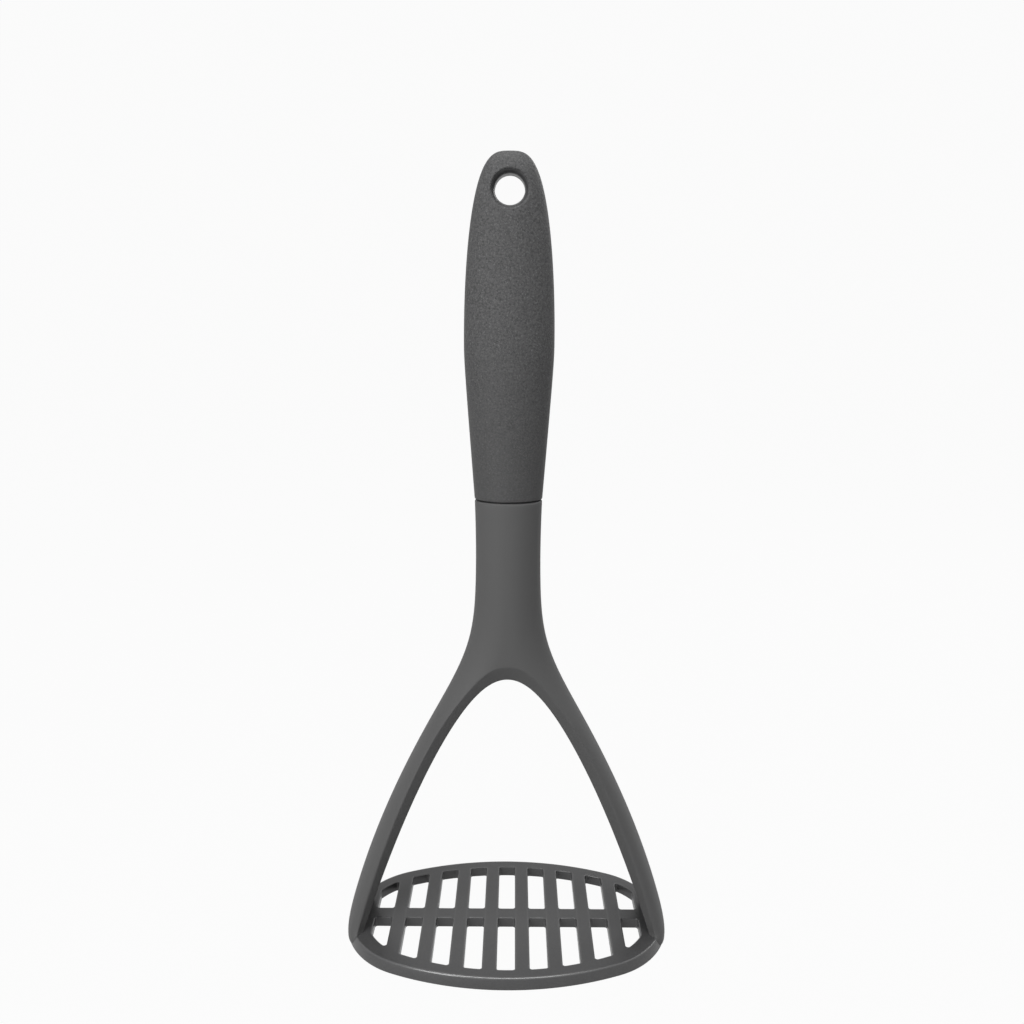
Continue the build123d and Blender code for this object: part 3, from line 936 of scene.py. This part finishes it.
def grip_patches(p, head, columns=208, lower_cells=70, upper_cells=120, lip_cells=8, field_cells=14):
    """The soft skin: ellipses from its rounded lower edge to the crown, with a window left out at the
    front and the back, and there rings that lead from the hole's rounded mouth to the window."""
    skin = HandleSkin(p, head)
    angles = full_turn(columns)
    bottom = head.seam_height + p.gap
    turns = np.linspace(0, QUARTER_TURN, EDGE_CELLS + 2)
    edge_z = bottom + p.edge_round * (1 - np.cos(turns))
    edge_draw = p.edge_round * (1 - np.sin(turns))
    lower = np.linspace(edge_z[-1], p.widest_height, lower_cells + 1)[1:]
    upper = skin.upper_heights(upper_cells)[1:]
    foot_z = np.concatenate([np.full(len(GRIP_RINGS), bottom), edge_z])
    foot = skin.rings(foot_z, angles, np.concatenate([p.edge_round + GRIP_RINGS, edge_draw]))
    body = skin.rings(np.concatenate([lower, upper]), angles)
    pole = np.zeros((1, columns, 3))
    pole[..., 2] = bottom
    rows = np.concatenate([pole, foot, body])

    low_row = np.searchsorted(rows[:, 0, 2], p.hole_height - WINDOW_BELOW)
    high_row = np.searchsorted(rows[:, 0, 2], p.hole_height + WINDOW_ABOVE)
    quarter = columns // 4
    reach = columns // 8
    keep = np.ones((len(rows) - 1, columns), bool)
    for centre in (quarter, 3 * quarter):
        keep[low_row:high_row, centre - reach : centre + reach] = False
    patches = [kept_patch(rows, keep)]

    left, right = 3 * quarter - reach, 3 * quarter + reach
    border = np.concatenate(
        [
            rows[low_row, left:right],
            rows[low_row:high_row, right],
            rows[high_row, right:left:-1],
            rows[high_row:low_row:-1, left],
        ]
    )
    ray = directions(np.arctan2(border[:, 2] - p.hole_height, border[:, 0]))
    hole = np.array([0.0, p.hole_height])
    lip_turns = np.linspace(0, QUARTER_TURN, lip_cells + 1)
    lip_radius = p.mouth_radius + p.mouth_round * (1 - np.cos(lip_turns))
    lip_drop = p.mouth_round * (1 - np.sin(lip_turns))
    lip = hole + ray[:, None] * lip_radius[:, None]
    spread = np.linspace(0, 1, field_cells + 1)[1:, None]
    field = lip[:, -1:] + (border[:, None, ::2] - lip[:, -1:]) * spread
    plan = np.concatenate([lip, field], axis=1)
    drop = np.concatenate([lip_drop, np.zeros(len(spread))])
    x, z = plan[..., 0], plan[..., 1]
    patch = np.stack([x, drop - skin.depth(x, z), z], axis=-1)
    front = grid_patch(patch.swapaxes(0, 1), closed=True)
    tunnel = across(patch[:, 0], np.linspace(-1, 1, lip_cells + 1))
    return patches + [front, mirrored(front, 1), grid_patch(tunnel.swapaxes(0, 1), closed=True)]


def ring_patches(p, head, columns=192, throat_cells=60):
    """The hard ring round the hanging hole. Its throat runs straight and then flares, as a square of
    the way to its edge, to the soft skin's mouth. Its edge follows the handle's curve."""
    skin = HandleSkin(p, head)
    ray = directions(full_turn(columns))
    rim = p.mouth_radius * ray
    edge = skin.depth(rim[:, 0], p.hole_height + rim[:, 1]) - p.mouth_round
    way = np.linspace(-1, 1, throat_cells + 1)
    y = edge[None] * way[:, None]
    straight = np.minimum(p.hole_straight, 0.5 * edge)[None]
    flare = np.maximum(np.abs(y) - straight, 0) / (edge[None] - straight)
    radius = p.hole_radius + (p.mouth_radius - p.hole_radius) * flare**2
    outer_y = edge - RING_INSETS[:, None]
    outer_radius = p.mouth_radius + RING_SHARES[:, None] * (p.ring_radius - p.mouth_radius)
    outer_radius = outer_radius * np.ones_like(outer_y)
    y = np.concatenate([y, outer_y, -outer_y[::-1]])
    radius = np.concatenate([radius, outer_radius, outer_radius[::-1]])
    rows = np.stack([radius * ray[:, 0], y, p.hole_height + radius * ray[:, 1]], axis=-1)
    return [grid_patch(np.concatenate([rows, rows[:1]]), closed=True)]


def sleeve_patches(p, head, columns=96, rings=60):
    """The core's sleeve under the soft skin, which shows only as the dark line in the seam."""
    skin = HandleSkin(p, head, p.wall)
    z = np.linspace(head.seam_height, p.hole_height - p.ring_radius, rings)
    rows = skin.rings(z, full_turn(columns))
    closed_ends = np.zeros((2, 1, columns, 3))
    closed_ends[..., 2] = z[[0, -1], None, None]
    return [grid_patch(np.concatenate([closed_ends[0], rows, closed_ends[1]]), closed=True)]


class MASHER_OT_plate(Operator):
    """Build the slotted plate"""

    bl_idname = "masher.plate"
    bl_label = "Mashing Plate"

    def execute(self, context):
        scene = context.scene
        patches = plate_patches(scene.masher_plate) + bar_patches(scene.masher_plate)
        nylon = nylon_finish(scene.masher_colours.head)
        make_piece("mashing_plate", patches, nylon, "masher_head")
        return {"FINISHED"}


class MASHER_OT_legs(Operator):
    """Build the neck and the two bowed legs"""

    bl_idname = "masher.legs"
    bl_label = "Neck and Legs"

    def execute(self, context):
        scene = context.scene
        patches = four_quarters(legs_quarter(scene.masher_head))
        nylon = bpy.data.materials["head_nylon"]
        make_piece("neck_and_legs", patches, nylon, "masher_head", sharp=50.0)
        return {"FINISHED"}


class MASHER_OT_grip(Operator):
    """Build the soft skin of the handle"""

    bl_idname = "masher.grip"
    bl_label = "Soft Grip"

    def execute(self, context):
        scene = context.scene
        patches = grip_patches(scene.masher_handle, scene.masher_head)
        rubber = skin_finish(scene.masher_colours.grip)
        make_piece("grip_skin", patches, rubber, "soft_grip", sharp=50.0)
        return {"FINISHED"}


class MASHER_OT_core(Operator):
    """Build the hard core's sleeve and the ring round the hanging hole"""

    bl_idname = "masher.core"
    bl_label = "Core and Ring"

    def execute(self, context):
        scene = context.scene
        plastic = ring_finish(scene.masher_colours.ring)
        sleeve = sleeve_patches(scene.masher_handle, scene.masher_head)
        ring = ring_patches(scene.masher_handle, scene.masher_head)
        make_piece("core_sleeve", sleeve, plastic, "handle_core")
        make_piece("hanging_ring", ring, plastic, "handle_core", sharp=60.0)
        return {"FINISHED"}


class MASHER_OT_stage(Operator):
    """Build the floor, the lamps and the camera"""

    bl_idname = "masher.stage"
    bl_label = "Stage"

    def execute(self, context):
        scene = context.scene
        settings = scene.masher_studio
        make_floor(scene.masher_colours.floor)
        make_world(settings.world)
        aim = Vector((0, 0, 0.5 * (HEAD_LOW.z + GRIP_HIGH.z)))
        for name, (place, size) in LAMPS.items():
            make_lamp(name, Vector(place), aim, size, getattr(settings, name))
        make_camera(settings)
        scene.view_settings.view_transform = "Standard"
        return {"FINISHED"}


def make_floor(base):
    """A wide floor that curves up into a backdrop: flat, a quarter circle, then straight up. Its
    sizes are in metres."""
    radius, back, height, half, front = 1.0, 3.0, 3.0, 5.0, 5.0
    turns = np.linspace(0, QUARTER_TURN, 24)
    y = np.concatenate([[-front], back + radius * np.sin(turns), [back + radius]])
    z = np.concatenate([[0.0], radius * (1 - np.cos(turns)), [radius + height]])
    points = np.empty((len(y), 2, 3))
    points[..., 0] = (-half, half)
    points[..., 1] = y[:, None]
    points[..., 2] = z[:, None]
    vertices, faces = grid_patch(points)
    mesh = bpy.data.meshes.new("floor")
    mesh.from_pydata(vertices.tolist(), [], faces.tolist())
    mesh.shade_smooth()
    mesh.materials.append(stage_finish(base))
    add_object("floor", mesh)


def make_world(strength):
    """Even white surroundings, which the camera and reflections see as plain white."""
    world = bpy.data.worlds.new("studio")
    maker = NodeMaker(world, "ShaderNodeOutputWorld")
    light = maker.out("ShaderNodeBackground", {}, {"Color": WHITE, "Strength": strength})
    white = maker.out("ShaderNodeBackground", {}, {"Color": WHITE, "Strength": 1.0})
    mixed = {"Fac": maker.seen(1.0), 1: light, 2: white}
    maker.end(maker.out("ShaderNodeMixShader", {}, mixed))
    bpy.context.scene.world = world


def make_lamp(name, place, aim, size, power):
    """A rectangular area lamp of a width and a height, turned towards its aim."""
    light = bpy.data.lights.new(name, "AREA")
    light.shape = "RECTANGLE"
    light.energy = power
    light.size, light.size_y = size
    lamp = add_object(name, light)
    lamp.location = place
    lamp.rotation_euler = (aim - place).to_track_quat("-Z", "Y").to_euler()


def make_camera(settings):
    """The camera from its fitted place, turned by yaw and pitch and rolled about its own axis."""
    data = bpy.data.cameras.new("camera")
    data.lens = settings.focal
    data.sensor_width = 36.0
    data.clip_start = 0.01
    camera = add_object("camera", data)
    turn = Matrix.Rotation(settings.yaw, 4, "Z") @ Matrix.Rotation(QUARTER_TURN - settings.pitch, 4, "X")
    roll = Matrix.Rotation(settings.roll, 4, "Z")
    place = Vector((settings.camera_x, -settings.camera_y, settings.camera_z))
    camera.matrix_world = Matrix.Translation(place) @ turn @ roll
    bpy.context.scene.camera = camera


class MASHER_PT_sidebar(Panel):
    """The masher's operators and sizes"""

    bl_idname = "MASHER_PT_sidebar"
    bl_label = "Masher"
    bl_space_type = "VIEW_3D"
    bl_region_type = "UI"
    bl_category = "Masher"

    def draw(self, context):
        layout = self.layout
        for operator in OPERATORS:
            layout.operator(operator.bl_idname)
        for name in SETTINGS:
            box = layout.box()
            group = getattr(context.scene, name)
            for prop in group.bl_rna.properties:
                if prop.identifier not in {"rna_type", "name"}:
                    box.prop(group, prop.identifier)


SETTINGS = {
    "masher_plate": PlateSizes,
    "masher_head": HeadSizes,
    "masher_handle": HandleSizes,
    "masher_colours": FinishColours,
    "masher_studio": StudioSettings,
}
OPERATORS = (MASHER_OT_plate, MASHER_OT_legs, MASHER_OT_grip, MASHER_OT_core, MASHER_OT_stage)


def register():
    for group in SETTINGS.values():
        bpy.utils.register_class(group)
    for name, group in SETTINGS.items():
        setattr(bpy.types.Scene, name, PointerProperty(type=group))
    for operator in OPERATORS:
        bpy.utils.register_class(operator)
    bpy.utils.register_class(MASHER_PT_sidebar)


def unregister():
    bpy.utils.unregister_class(MASHER_PT_sidebar)
    for operator in reversed(OPERATORS):
        bpy.utils.unregister_class(operator)
    for name in SETTINGS:
        delattr(bpy.types.Scene, name)
    for group in reversed(SETTINGS.values()):
        bpy.utils.unregister_class(group)


def main():
    register()
    bpy.ops.masher.plate()
    bpy.ops.masher.legs()
    bpy.ops.masher.grip()
    bpy.ops.masher.core()
    bpy.ops.masher.stage()


if __name__ == "__main__":
    main()
